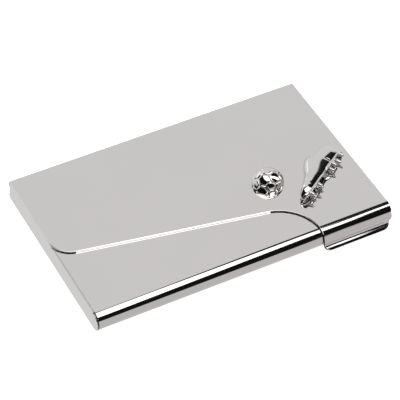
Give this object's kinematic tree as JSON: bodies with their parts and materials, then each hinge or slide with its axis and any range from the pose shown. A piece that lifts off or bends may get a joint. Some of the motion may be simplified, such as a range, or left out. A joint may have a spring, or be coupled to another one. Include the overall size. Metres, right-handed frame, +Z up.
{
  "type": "business card case",
  "caption": "Slim polished metal business card case with a back-hinged lid, rolled front edge, thumb lip and raised football and boot emblems.",
  "frame": {"origin": "centre of the flat bottom that the case rests on", "axes": "+X along the length, to the right seen from the front; front (rolled edge) at -Y; +Z up out of the lid"},
  "size_m": [0.095, 0.0619, 0.0118],
  "materials": {
    "polished_shell": "mirror polished nickel plate",
    "polished_cap": "mirror polished nickel plate",
    "cast_emblem": "polished plated casting",
    "hinge_steel": "plated, drawn",
    "spring_steel": "satin"
  },
  "bodies": {
    "case": {"base_shell": "polished_shell", "left_end_cap": "polished_cap", "right_end_cap": "polished_cap", "base_hinge_leaf": "hinge_steel", "hinge_pin": "hinge_steel", "card_spring": "spring_steel", "spring_rivet_front": "hinge_steel", "spring_rivet_back": "hinge_steel"},
    "lid": {"lid_shell": "polished_shell", "lid_hinge_leaf": "hinge_steel", "ball_emblem": "cast_emblem", "boot_emblem": "cast_emblem", "ball_washer": "spring_steel", "boot_toe_washer": "spring_steel", "boot_heel_washer": "spring_steel"}
  },
  "joints": [
    {"name": "lid_hinge", "type": "hinge", "parent": "case", "child": "lid", "pos_m": [0, 0.0289, 0.00345], "axis": [-1, 0, 0], "range_deg": [0, 105]}
  ]
}
